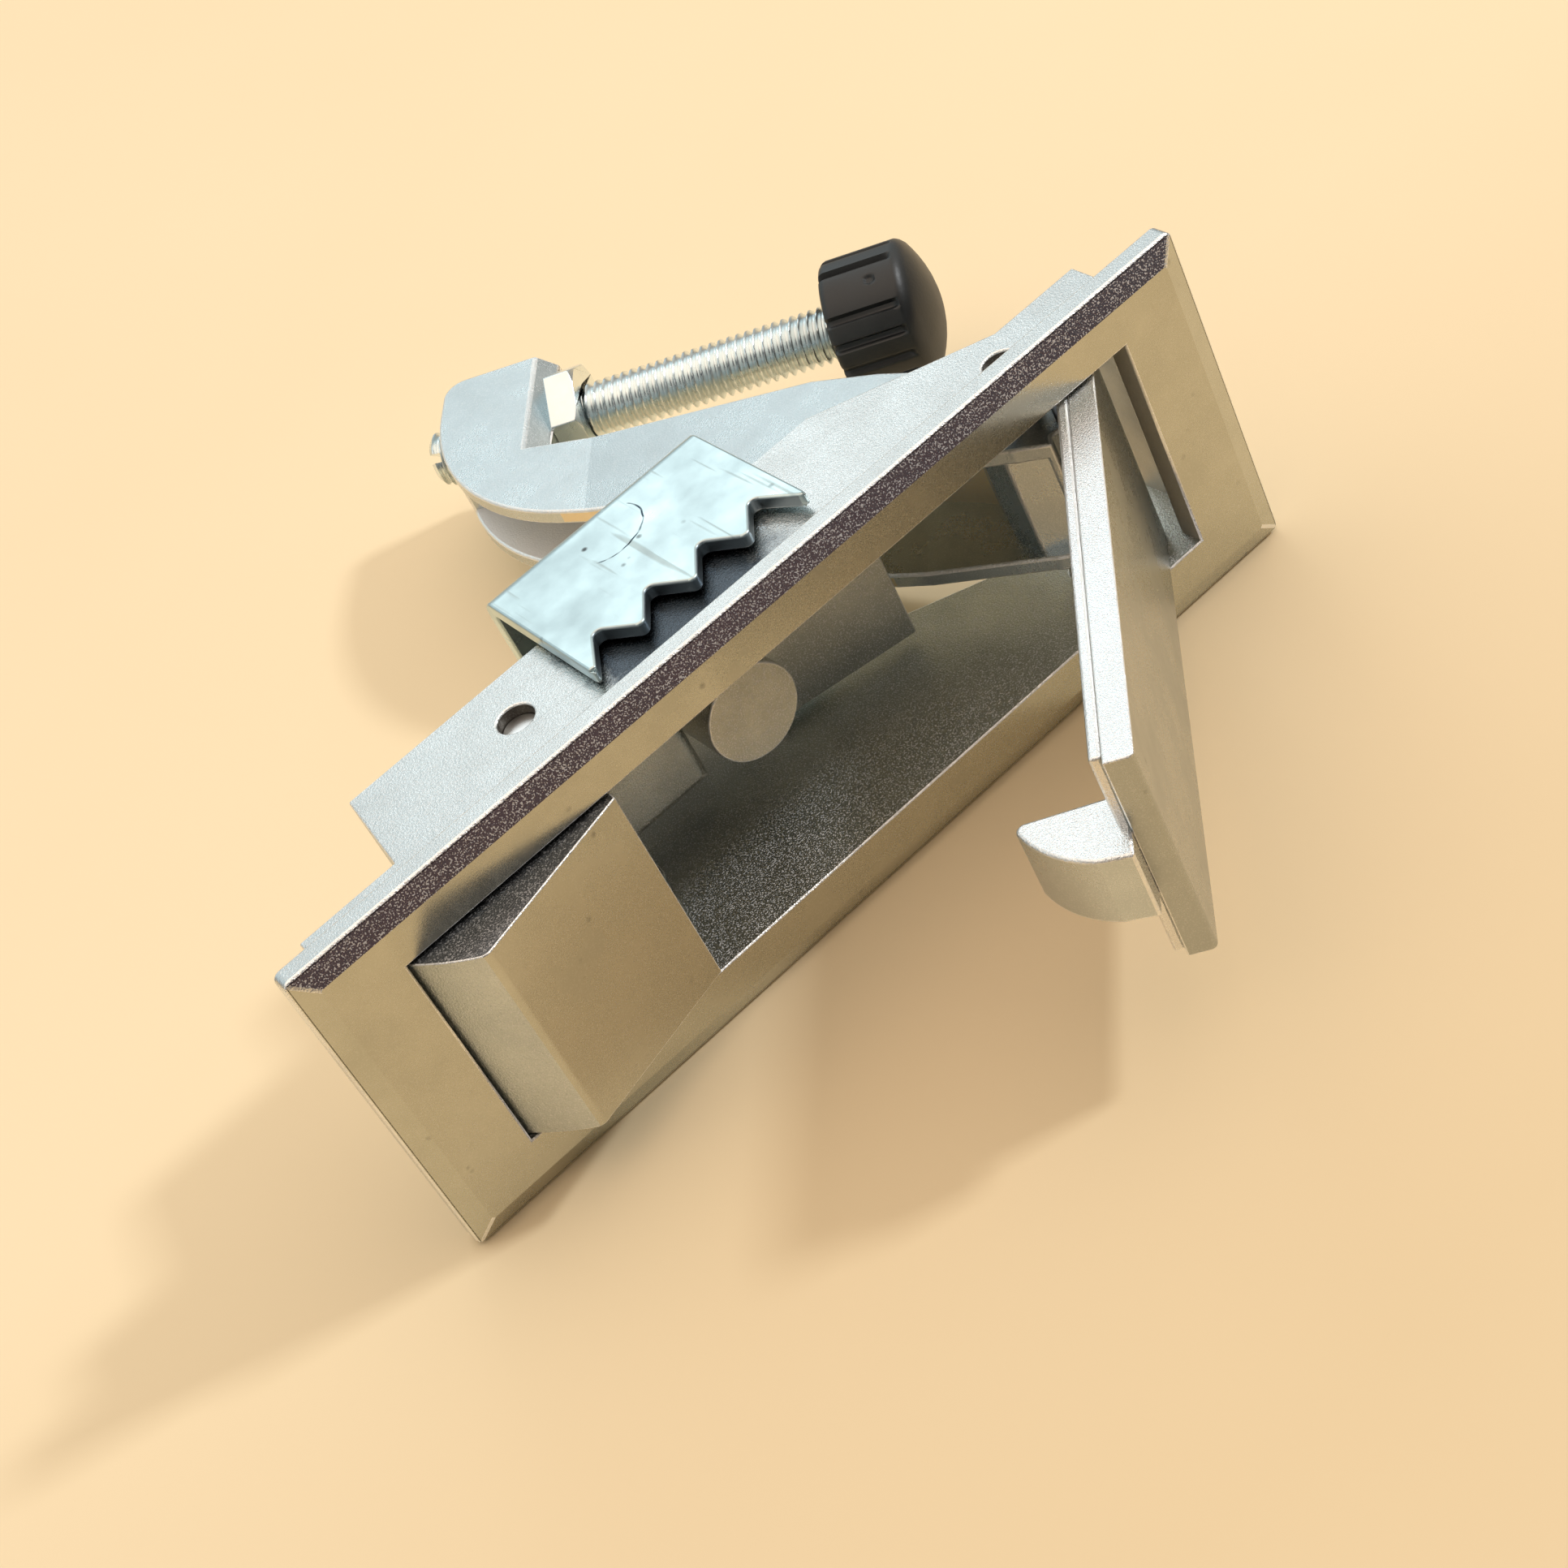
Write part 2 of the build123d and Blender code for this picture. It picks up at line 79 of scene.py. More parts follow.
# Bends between two faces, in degrees: where flat or curved faces part, and where an edge is worn round
FLAT_BEND, CURVED_BEND, RESHAPED_BEND, WORN_BEND = 1, 14, 25, 30
SAME_PLANE_BEND, THREAD_BEND, KNOB_BEND = 0.5, 50, 34
FLAT_WITHIN = 0.01
ROUND_STEPS = 3
WELD, RESHAPED_WELD = 1e-7, 1e-6

# The scratch on the clamp: part of a circle, on one side of its middle, in millimetres
SCRATCH_MIDDLE, SCRATCH_RADIUS, SCRATCH_SIDE = (-1.2, 21.6), 4.1, (0.537, -0.843)

# The floor's height and slope in millimetres, and its size in metres
FLOOR_HEIGHT, FLOOR_RISE, FLOOR_RUN, FLOOR_SIZE = -18.05, 2.6, 26.0, 6.0

# The camera, worked out from the bezel's corners
CAMERA_PLACE = (-0.0691, -0.1888, 0.1622)
CAMERA_RIGHT = Vector((0.72722604, -0.57478635, -0.37518388))
CAMERA_DOWN = Vector((-0.64010314, -0.37056361, -0.67301603))
CAMERA_AHEAD = Vector((0.24781093, 0.72959116, -0.63740605))
CAMERA_ANGLE = math.radians(30.08)


# ---- materials ----
def new_material(name):
    """A material with one Principled shader, and the tools to wire it."""
    material = bpy.data.materials.new(name)
    material.use_nodes = True
    nodes = material.node_tree.nodes
    return material, nodes, material.node_tree.links, nodes["Principled BSDF"]


def noise(nodes, links, coords, scale, detail=2.0, rough=0.5):
    """Smooth noise with so many waves to the metre."""
    texture = nodes.new("ShaderNodeTexNoise")
    texture.inputs["Scale"].default_value = scale
    texture.inputs["Detail"].default_value = detail
    texture.inputs["Roughness"].default_value = rough
    links.new(coords, texture.inputs["Vector"])
    return texture.outputs["Fac"]


def spread(nodes, links, value, low, high, to_low=0.0, to_high=1.0):
    """Stretches the part of a value between low and high to a new range."""
    ramp = nodes.new("ShaderNodeMapRange")
    ramp.inputs["From Min"].default_value = low
    ramp.inputs["From Max"].default_value = high
    ramp.inputs["To Min"].default_value = to_low
    ramp.inputs["To Max"].default_value = to_high
    links.new(value, ramp.inputs["Value"])
    return ramp.outputs["Result"]


def object_place(nodes, links):
    """A point's place on its object, whole and then as X, Y and Z."""
    place = nodes.new("ShaderNodeTexCoord").outputs["Object"]
    split = nodes.new("ShaderNodeSeparateXYZ")
    links.new(place, split.inputs["Vector"])
    return place, split.outputs


def mix_colour(nodes, links, share, first, second):
    """Blends two colours, each a socket or three numbers, by a share."""
    mixer = nodes.new("ShaderNodeMix")
    mixer.data_type = "RGBA"
    links.new(share, mixer.inputs["Factor"])
    for socket, colour in (("A", first), ("B", second)):
        slot = [i for i in mixer.inputs if i.name == socket and i.type == "RGBA"][0]
        if hasattr(colour, "is_output"):
            links.new(colour, slot)
        else:
            slot.default_value = (*colour, 1.0)
    return [o for o in mixer.outputs if o.type == "RGBA"][0]


def maths(nodes, links, kind, a, b=0.0):
    """One sum on sockets or numbers."""
    node = nodes.new("ShaderNodeMath")
    node.operation = kind
    for socket, value in zip(node.inputs, (a, b)):
        if hasattr(value, "is_output"):
            links.new(value, socket)
        else:
            socket.default_value = value
    return node.outputs[0]


def new_group(name, inputs, outputs):
    """A shader node group with named number sockets."""
    group = bpy.data.node_groups.new(name, "ShaderNodeTree")
    for label, value in inputs.items():
        socket = group.interface.new_socket(label, in_out="INPUT", socket_type="NodeSocketFloat")
        socket.default_value = value
    for label in outputs:
        group.interface.new_socket(label, in_out="OUTPUT", socket_type="NodeSocketFloat")
    nodes, links = group.nodes, group.links
    return group, nodes, links, nodes.new("NodeGroupInput"), nodes.new("NodeGroupOutput")


def make_cast_grain():
    """Fine skin of a plated casting: its height, and scattered grains that glitter."""
    sizes, results = {"Grains per metre": 7000.0}, ["Height", "Glitter"]
    group, nodes, links, into, out = new_group("Cast grain", sizes, results)
    place = nodes.new("ShaderNodeTexCoord").outputs["Object"]
    for label, detail, size in (("Height", 2.0, 0.8), ("Glitter", 0.0, 1.0)):
        skin = nodes.new("ShaderNodeTexNoise")
        skin.inputs["Detail"].default_value = detail
        skin.inputs["Roughness"].default_value = 0.6
        links.new(place, skin.inputs["Vector"])
        links.new(maths(nodes, links, "MULTIPLY", into.outputs[0], size), skin.inputs["Scale"])
        height = skin.outputs["Fac"]
        links.new(height if label == "Height" else spread(nodes, links, height, 0.58, 0.66), out.inputs[label])
    return group


def make_wear():
    """Handling wear: long faint scratches, small dark specks and broad cloudy patches."""
    sizes, results = {"Specks per metre": 420.0}, ["Scratches", "Specks", "Clouds"]
    group, nodes, links, into, out = new_group("Wear", sizes, results)
    place = nodes.new("ShaderNodeTexCoord").outputs["Object"]
    lines = None
    for turn, stretch in ((0.5, 260.0), (1.9, 340.0)):
        lay = nodes.new("ShaderNodeMapping")
        lay.inputs["Rotation"].default_value = (turn, turn * 0.6, turn)
        lay.inputs["Scale"].default_value = (1.0, 0.04, 1.0)
        links.new(place, lay.inputs["Vector"])
        strand = noise(nodes, links, lay.outputs["Vector"], stretch * 3, 2.0, 0.6)
        thin = spread(nodes, links, strand, 0.66, 0.72)
        lines = thin if lines is None else maths(nodes, links, "MAXIMUM", lines, thin)
    links.new(lines, out.inputs["Scratches"])
    spots = nodes.new("ShaderNodeTexVoronoi")
    spots.feature = "F1"
    links.new(place, spots.inputs["Vector"])
    links.new(into.outputs["Specks per metre"], spots.inputs["Scale"])
    near = spread(nodes, links, spots.outputs["Distance"], 0.16, 0.06)
    patchy = spread(nodes, links, noise(nodes, links, place, 90.0), 0.5, 0.62)
    links.new(maths(nodes, links, "MULTIPLY", near, patchy), out.inputs["Specks"])
    links.new(noise(nodes, links, place, 150.0, 4.0, 0.6), out.inputs["Clouds"])
    return group


CAST_GRAIN = make_cast_grain()
WEAR = make_wear()


def use_group(nodes, group):
    """Puts a node group into a material and gives its outputs."""
    node = nodes.new("ShaderNodeGroup")
    node.node_tree = group
    return node.outputs


def add_bump(nodes, links, shader, height, strength, distance):
    """Roughens a shader's surface by a height."""
    bump = nodes.new("ShaderNodeBump")
    bump.inputs["Strength"].default_value = strength
    bump.inputs["Distance"].default_value = distance
    links.new(height, bump.inputs["Height"])
    links.new(bump.outputs["Normal"], shader.inputs["Normal"])


def metal(name, light, dark, smooth, rough, grain=0.0, glitter=0.0, speck=0.0, scratch=0.0, mark=None):
    """A plated metal: cloudy colour and gloss, dark specks, scratches, an optional cast grain and an optional dark
    mark: a real scratch on the clamp, painted shade on the box.
    """
    material, nodes, links, shader = new_material(name)
    shader.inputs["Metallic"].default_value = 1.0
    wear = use_group(nodes, WEAR)
    colour = mix_colour(nodes, links, spread(nodes, links, wear["Clouds"], 0.3, 0.7), light, dark)
    if speck:
        share = maths(nodes, links, "MULTIPLY", wear["Specks"], speck)
        colour = mix_colour(nodes, links, share, colour, (0.05, 0.05, 0.05))
    gloss = spread(nodes, links, wear["Clouds"], 0.3, 0.7, smooth, rough)
    if scratch:
        gloss = maths(nodes, links, "ADD", gloss, maths(nodes, links, "MULTIPLY", wear["Scratches"], scratch))
    if grain:
        skin = use_group(nodes, CAST_GRAIN)
        grains = maths(nodes, links, "MULTIPLY", skin["Glitter"], glitter)
        colour = mix_colour(nodes, links, grains, colour, (0.92, 0.92, 0.92))
        gloss = maths(nodes, links, "ADD", gloss, maths(nodes, links, "MULTIPLY", grains, 0.5))
        add_bump(nodes, links, shader, skin["Height"], grain, 0.00018)
    elif scratch:
        add_bump(nodes, links, shader, wear["Scratches"], 0.15, 0.00005)
    # The dark navy mark is a real scratch on the clamp, and painted shade under the clamp on the box.
    if mark:
        colour = mix_colour(nodes, links, mark(nodes, links), colour, (0.02, 0.035, 0.055))
    links.new(colour, shader.inputs["Base Color"])
    links.new(gloss, shader.inputs["Roughness"])
    return material


def long_scratch(nodes, links):
    """One deep curved scratch across the clamp's upper cheek."""
    place, at = object_place(nodes, links)
    sides = [maths(nodes, links, "SUBTRACT", at[axis], SCRATCH_MIDDLE[axis] * MM) for axis in (0, 1)]
    squares = [maths(nodes, links, "POWER", side, 2.0) for side in sides]
    reach = maths(nodes, links, "SQRT", maths(nodes, links, "ADD", *squares))
    wander = spread(nodes, links, noise(nodes, links, place, 260.0), 0.3, 0.7, -0.0003, 0.0003)
    off = maths(nodes, links, "SUBTRACT", reach, SCRATCH_RADIUS * MM)
    off = maths(nodes, links, "ADD", off, wander)
    line = spread(nodes, links, maths(nodes, links, "ABSOLUTE", off), 0.00013, 0.00005)
    parts = [maths(nodes, links, "MULTIPLY", side, share) for side, share in zip(sides, SCRATCH_SIDE)]
    kept = spread(nodes, links, maths(nodes, links, "ADD", *parts), 0.0010, 0.0013)
    upper = spread(nodes, links, at["Z"], 0.0150, 0.0152)
    broken = spread(nodes, links, noise(nodes, links, place, 900.0), 0.3, 0.5, 0.35, 1.0)
    line = maths(nodes, links, "MULTIPLY", line, kept)
    return maths(nodes, links, "MULTIPLY", line, maths(nodes, links, "MULTIPLY", upper, broken))


def painted_shade_under_clamp(nodes, links):
    """Painted shade on the box's side, under the clamp's teeth, with ragged ends."""
    place, at = object_place(nodes, links)
    wander = spread(nodes, links, noise(nodes, links, place, 500.0, 3.0, 0.6), 0.3, 0.7, -0.0012, 0.0012)
    along = maths(nodes, links, "ADD", at["X"], wander)
    left = spread(nodes, links, along, -0.0135, -0.0110)
    right = spread(nodes, links, along, 0.0100, 0.0045)
    sides = maths(nodes, links, "MULTIPLY", left, right)
    behind_bezel = spread(nodes, links, at["Y"], 0.0002, 0.0006)
    upper = spread(nodes, links, at["Z"], 0.0132, 0.0134, 0.0, 0.9)
    return maths(nodes, links, "MULTIPLY", sides, maths(nodes, links, "MULTIPLY", behind_bezel, upper))


# Name, lighter and darker colour, least and most roughness, then depth of grain and share of glitter
SMOOTH_PLATE = metal("plate_smooth", (0.55, 0.55, 0.48), (0.50, 0.50, 0.43), 0.20, 0.30, 0.05, 0.10, speck=0.4)
# Painted shade: a darker copy of the smooth plate, for the cover's faces.
COVER_PLATE = metal("plate_cover", (0.46, 0.48, 0.46), (0.41, 0.43, 0.41), 0.22, 0.32, 0.06, 0.12, speck=0.3)
LAND_PLATE = metal("plate_upper_land", (0.56, 0.56, 0.50), (0.50, 0.50, 0.45), 0.24, 0.34, 0.22, 0.45)
SKIRT_PLATE = metal("plate_skirt", (0.60, 0.64, 0.63), (0.54, 0.58, 0.57), 0.30, 0.40, 0.40, 0.5)
BEVEL_PLATE = metal("plate_bevel", (0.69, 0.61, 0.61), (0.57, 0.52, 0.52), 0.16, 0.22, 0.22, 0.8)
GRAIN_PLATE = metal("plate_grained", (0.80, 0.80, 0.79), (0.75, 0.75, 0.74), 0.20, 0.28, 0.28, 0.4)
# Painted shade: a darker copy of the grained plate, for the arm.
ARM_PLATE = metal("plate_arm", (0.60, 0.65, 0.66), (0.53, 0.58, 0.59), 0.24, 0.32, 0.26, 0.25)
# Painted light: a bright warm colour inside the arm's channel.
CHANNEL_PLATE = metal("plate_in_channel", (0.98, 0.84, 0.58), (0.90, 0.76, 0.52), 0.45, 0.60, 0.2, 0.2)
# Painted shade: the pin holes' walls are darkened to stand for their shadow.
HOLE_PLATE = metal("plate_in_pin_hole", (0.16, 0.15, 0.13), (0.10, 0.09, 0.08), 0.5, 0.6, 0.2, 0.1)
# The box plate carries painted shade on its side, under the clamp's teeth.
BOX_PLATE = metal("plate_box", (0.68, 0.69, 0.68), (0.61, 0.62, 0.61), 0.20, 0.28, 0.28, 0.3, mark=painted_shade_under_clamp)
ROUGH_PLATE = metal("plate_rough", (0.95, 0.98, 0.99), (0.88, 0.91, 0.92), 0.18, 0.26, 0.40, 0.45)
# Painted shade: the recess is darker than the box; its higher roughness is the plating's own.
RECESS_PLATE = metal("plate_in_recess", (0.59, 0.61, 0.56), (0.48, 0.50, 0.46), 0.30, 0.42, 0.36, 0.9)
# Painted shade: the button's cheeks, between the window walls, are darkened.
CHEEK_PLATE = metal("plate_cheek", (0.27, 0.28, 0.29), (0.19, 0.20, 0.21), 0.28, 0.40, 0.35, 0.4)
WALL_PLATE = metal("plate_in_window", (0.72, 0.68, 0.60), (0.62, 0.59, 0.52), 0.55, 0.70, 0.2, 0.2)
# Painted light: a pale colour on the inner faces past the arm's bend.
INNER_PLATE = metal("plate_in_arm", (0.95, 0.94, 0.93), (0.90, 0.89, 0.88), 0.55, 0.70, 0.3, 0.3)
# Rubbed edges: partly real wear, partly a painted highlight along every rounded edge.
EDGE_PLATE = metal("plate_edge", (0.96, 0.97, 0.96), (0.88, 0.89, 0.88), 0.26, 0.36, 0.5, 0.6)
ZINC_SHEET = metal(
    "zinc_sheet", (0.63, 0.75, 0.755), (0.49, 0.60, 0.625), 0.26, 0.42, speck=0.9, scratch=0.25, mark=long_scratch
)
ZINC_CUT = metal("zinc_cut_edge", (0.42, 0.48, 0.51), (0.30, 0.37, 0.41), 0.30, 0.45, scratch=0.2)
ZINC_THREAD = metal("zinc_thread", (0.88, 0.95, 0.96), (0.74, 0.82, 0.84), 0.20, 0.32, scratch=0.1)
STEEL_PIN = metal("steel_pin", (0.78, 0.78, 0.77), (0.68, 0.68, 0.67), 0.25, 0.4, scratch=0.1)
SPRING_STEEL = metal("spring_steel", (0.42, 0.42, 0.43), (0.34, 0.34, 0.36), 0.25, 0.4, scratch=0.1)


def make_black_plastic():
    """Matt black moulded plastic with a faint grain."""
    material, nodes, links, shader = new_material("black_plastic")
    place = nodes.new("ShaderNodeTexCoord").outputs["Object"]
    cloud = noise(nodes, links, place, 160.0, 3.0)
    patches = spread(nodes, links, cloud, 0.3, 0.7)
    colour = mix_colour(nodes, links, patches, (0.012, 0.014, 0.015), (0.024, 0.027, 0.028))
    links.new(colour, shader.inputs["Base Color"])
    links.new(spread(nodes, links, cloud, 0.3, 0.7, 0.36, 0.5), shader.inputs["Roughness"])
    add_bump(nodes, links, shader, noise(nodes, links, place, 2600.0, 2.0), 0.12, 0.0001)
    return material


BLACK_PLASTIC = make_black_plastic()


def make_floor_paint():
    """Warm paper with painted shade in front of the latch, and a painted dark reflection: far away, the paper is
    dark only where the metal mirrors it.
    """
    material, nodes, links, shader = new_material("floor_paper")
    place, at = object_place(nodes, links)
    mottle = spread(nodes, links, noise(nodes, links, place, 9.0, 4.0), 0.35, 0.65)
    colour = mix_colour(nodes, links, mottle, (0.96, 0.785, 0.515), (0.98, 0.805, 0.535))
    # Painted shade: the paper is darker in front of the latch.
    in_front = spread(nodes, links, at["Y"], 0.03, -0.07)
    colour = mix_colour(nodes, links, in_front, colour, (0.86, 0.675, 0.415))
    reach = nodes.new("ShaderNodeVectorMath")
    reach.operation = "LENGTH"
    links.new(place, reach.inputs[0])
    # Painted reflection: the far paper turns dark in glossy rays only.
    far = spread(nodes, links, reach.outputs["Value"], 0.12, 0.32)
    mirrored = nodes.new("ShaderNodeLightPath").outputs["Is Glossy Ray"]
    beyond = maths(nodes, links, "MULTIPLY", far, mirrored)
    colour = mix_colour(nodes, links, beyond, colour, (0.10, 0.075, 0.07))
    links.new(colour, shader.inputs["Base Color"])
    shader.inputs["Roughness"].default_value = 0.75
    shader.inputs["Specular IOR Level"].default_value = 0.25
    return material


# ---- pieces ----
OPENED = Matrix.Translation(HANDLE_PIN * MM) @ Matrix.Rotation(HANDLE_OPEN, 4, "Z")
CLOSED = OPENED.inverted()


def crisp_block(build):
    """Draws the rounded nut side of the arm's block as two plain chamfers."""
    start, size, half = BLOCK_START, BLOCK_CHAMFER, BLOCK_WIDTH / 2
    for vert in build.verts:
        where = CLOSED @ vert.co / MM
        if where.x > BLOCK_INNER and start < where.y < start + size and half - size < abs(where.z) < half:
            up = 1 if where.z > 0 else -1
            near_top = where.y - start + abs(where.z) > half
            where.y, where.z = (start + size, up * half) if near_top else (start, up * (half - size))
            if where.x < BLOCK_INNER + 1.0:
                where.x = BLOCK_INNER + BLOCK_LEAN * (where.y - start)
            vert.co = OPENED @ (where * MM)


def sink_ends(build):
    """Sets a pin's ends back into their holes."""
    for vert in build.verts:
        vert.co.z -= math.copysign(PIN_SUNK * MM, vert.co.z)


def blunt_tips(build):
    """Wears the sharp end teeth of the clamp down to blunt tips."""
    tips = []
    for edge in build.edges:
        ends = [vert.co / MM for vert in edge.verts]
        if all(abs(end.y - TOOTH_TIP) < 0.1 for end in ends) and abs(ends[0].x - ends[1].x) < 0.01:
            tips.append(edge)
    bmesh.ops.bevel(build, geom=tips, offset=TIP_WEAR * MM, segments=ROUND_STEPS, profile=0.5, affect="EDGES")


def mark_surfaces(build, weight, flat):
    """Marks the borders of the CAD surfaces, which are not welded yet, and the surfaces that are flat."""
    for edge in build.edges:
        edge[weight] = 1.0 if edge.is_boundary else 0.0
    seen = set()
    for face in build.faces:
        if face in seen:
            continue
        seen.add(face)
        surface = [face]
        for member in surface:
            beside = {other for edge in member.edges for other in edge.link_faces} - seen
            seen |= beside
            surface += beside
        level = all(member.normal.angle(face.normal, 0.0) < FLAT_WITHIN for member in surface)
        for member in surface:
            member[flat] = int(level)


def clean_copy(node, reshape=None):
    """A copy of a CAD node's mesh, welded whole, with the edges of its surfaces marked for rounding."""
    build = bmesh.new()
    build.from_mesh(frame["nodes"][node].data)
    weight = build.edges.layers.float.new("bevel_weight_edge")
    flat = build.faces.layers.int.new("flat")
    mark_surfaces(build, weight, flat)
    bmesh.ops.remove_doubles(build, verts=build.verts, dist=WELD)
    if reshape:
        reshape(build)
        bmesh.ops.remove_doubles(build, verts=build.verts, dist=RESHAPED_WELD)
        bmesh.ops.dissolve_degenerate(build, edges=build.edges, dist=RESHAPED_WELD)
        for edge in build.edges:
            if edge.calc_face_angle(0.0) > math.radians(RESHAPED_BEND):
                edge[weight] = 1.0
    for edge in build.edges:
        bend = math.degrees(edge.calc_face_angle(0.0))
        plain = all(face[flat] for face in edge.link_faces)
        edge.smooth = not (edge[weight] and bend > (FLAT_BEND if plain else CURVED_BEND))
        if bend < WORN_BEND or not edge.is_convex:
            edge[weight] = 0.0
    build.faces.layers.int.remove(flat)
    bmesh.ops.dissolve_limit(
        build,
        angle_limit=math.radians(SAME_PLANE_BEND),
        use_dissolve_boundaries=False,
        verts=build.verts,
        edges=build.edges,
    )
    mesh = bpy.data.meshes.new(node + "_shape")
    build.to_mesh(mesh)
    build.free()
    if "custom_normal" in mesh.attributes:
        mesh.attributes.remove(mesh.attributes["custom_normal"])
    mesh.materials.clear()
    return mesh


def place_piece(name, mesh, node, body=None):
    """Puts a mesh in the place of a CAD node, on that node's body or another."""
    piece = bpy.data.objects.new(name, mesh)
    bpy.context.scene.collection.objects.link(piece)
    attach(piece, body or BODY_OF[node])
    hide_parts(node)
    return piece


def dress(node, materials, edge, pick=None, reshape=None):
    """Stands in for a CAD node, with rounded edges and the material that pick names for each face."""
    mesh = clean_copy(node, reshape)
    for material in materials:
        mesh.materials.append(material)
    for face in mesh.polygons:
        face.use_smooth = True
        face.material_index = materials.index(pick(face)) if pick else 0
    piece = place_piece(node + "_finish", mesh, node)
    bevel = piece.modifiers.new("edges", "BEVEL")
    bevel.width = edge * MM
    bevel.segments = ROUND_STEPS
    bevel.limit_method = "WEIGHT"
    bevel.use_clamp_overlap = False
    level = piece.modifiers.new("level_faces", "WEIGHTED_NORMAL")
    level.keep_sharp = True
    if EDGE_PLATE in materials:
        bevel.material = materials.index(EDGE_PLATE)


def plating_of_housing(face):
    """Polished front, dark upper bevel, a rougher recess and the pin holes darkened with painted shade, painted
    shade under the clamp, grained everywhere else.
    """
    where, facing = face.center / MM, face.normal
    if where.y < BEZEL_FRONT and facing.y < -MOSTLY:
        if facing.z > SLIGHTLY:
            return BEVEL_PLATE
        return LAND_PLATE if where.z > UPPER_LAND and abs(facing.x) < HARDLY else SMOOTH_PLATE
    if where.x > WINDOW_WALL and facing.x < -MOSTLY:
        return WALL_PLATE
    if abs(facing.z) < PARTLY and min((where.xy - pin).length for pin in PINS) < PIN_HOLE:
        return HOLE_PLATE
    between_walls = abs(where.x) < RECESS_LENGTH and abs(where.z) < RECESS_WIDTH
    in_recess = between_walls and RECESS_FRONT < where.y < RECESS_BACK
    turned_in = abs(facing.x) + abs(facing.z) + max(0.0, -facing.y) > HALF
    return RECESS_PLATE if in_recess and turned_in else BOX_PLATE


def plating_of_button(face):
    """Polished top, cheeks darkened with painted shade, and a grained skirt."""
    if abs(face.normal.z) > HALF:
        return CHEEK_PLATE
    return SMOOTH_PLATE if face.normal.y < -NEARLY_ALL else SKIRT_PLATE


def plating_of_cover(face):
    """Polished faces darkened with painted shade, and rough long edges."""
    return ROUGH_PLATE if abs(face.normal.z) > HALF else COVER_PLATE


def plating_of_lever(face):
    """Rough strip and hook edges, painted light on the rough channel and inside the arm's bend, and grained
    everywhere else, with painted shade on the arm.
    """
    where, up = CLOSED @ face.center / MM, face.normal.z
    if where.y < STRIP_BACK and abs(up) <= HALF:
        return GRAIN_PLATE
    on_channel = where.x > CHANNEL_SIDE and CHANNEL_FRONT < where.y < CHANNEL_BACK
    if on_channel and (CLOSED.to_3x3() @ face.normal).x < -HALF:
        return CHANNEL_PLATE
    if abs(up) > HALF and where.y < STRIP_BACK or where.x < HOOK_SIDE and up > HALF:
        return ROUGH_PLATE
    return INNER_PLATE if up * where.z < -HALF and where.y > ARM_BEND else ARM_PLATE


def zinc_of_clamp(face):
    """Bright sheet and dull cut teeth."""
    where = face.center / MM
    inner_tooth = abs(where.x - CLAMP_MIDDLE) < CLAMP_INNER_TEETH and where.y < TOOTH_ROOT
    return ZINC_CUT if abs(face.normal.z) < PARTLY and inner_tooth else ZINC_SHEET


def part_spring(node, pin, radius, start, lift_angle, lifted):
    """Stands in for a spring: the coil stays on the frame, and its lifting leg turns with the body that it lifts."""
    turn = Matrix.Rotation(math.radians(-lift_angle), 3, "Z")
    for part, body in (("coil", None), ("leg", lifted)):
        build = bmesh.new()
        build.from_mesh(frame["nodes"][node].data)
        bmesh.ops.remove_doubles(build, verts=build.verts, dist=WELD)
        others = []
        for face in build.faces:
            where = turn @ (face.calc_center_median() / MM - Vector((*pin, start)))
            on_leg = where.y < -0.05 and abs(where.x - radius) < WIRE and abs(where.z) < WIRE
            if on_leg != (part == "leg"):
                others.append(face)
        bmesh.ops.delete(build, geom=others, context="FACES")
        bmesh.ops.holes_fill(build, edges=[edge for edge in build.edges if edge.is_boundary])
        mesh = bpy.data.meshes.new(f"{node}_{part}_shape")
        build.to_mesh(mesh)
        build.free()
        mesh.materials.clear()
        mesh.materials.append(SPRING_STEEL)
        place_piece(f"{node}_{part}", mesh, node, body)


def ring_mesh(name, rings, bend):
    """A smooth skin over rings of points, in millimetres, closed at both ends and sharp where it bends more."""
    build = bmesh.new()
    rings = [[build.verts.new([value * MM for value in point]) for point in ring] for ring in rings]
    for below, above in zip(rings, rings[1:]):
        for side, after in enumerate([*range(1, len(below)), 0]):
            build.faces.new((below[side], above[side], above[after], below[after]))
    build.faces.new(rings[0])
    build.faces.new(list(reversed(rings[-1])))
    bmesh.ops.recalc_face_normals(build, faces=build.faces)
    mesh = bpy.data.meshes.new(name)
    build.to_mesh(mesh)
    build.free()
    for face in mesh.polygons:
        face.use_smooth = True
    mesh.set_sharp_from_angle(angle=math.radians(bend))
    return mesh


def thread_mesh(name, start, end, radius, pitch, sides=40, steps=10):
    """A threaded rod along +Y from start to end, in millimetres, with chamfered ends."""
    depth = 0.54 * pitch
    rows = int((end - start) / pitch * steps) + 1
    rings = []
    for row in range(rows):
        along = start + (end - start) * row / (rows - 1)
        lead_in = min(along - start, end - along)
        ring = []
        for side in range(sides):
            angle = 2 * math.pi * side / sides
            phase = (along / pitch - side / sides) % 1.0
            crest = min(1.0, max(0.0, abs(phase - 0.5) * 2.6 - 0.2))
            reach = min(radius - depth * (1 - crest), radius - depth * 1.2 + lead_in)
            ring.append((reach * math.cos(angle), along, reach * math.sin(angle)))
        rings.append(ring)
    return ring_mesh(name, rings, THREAD_BEND)


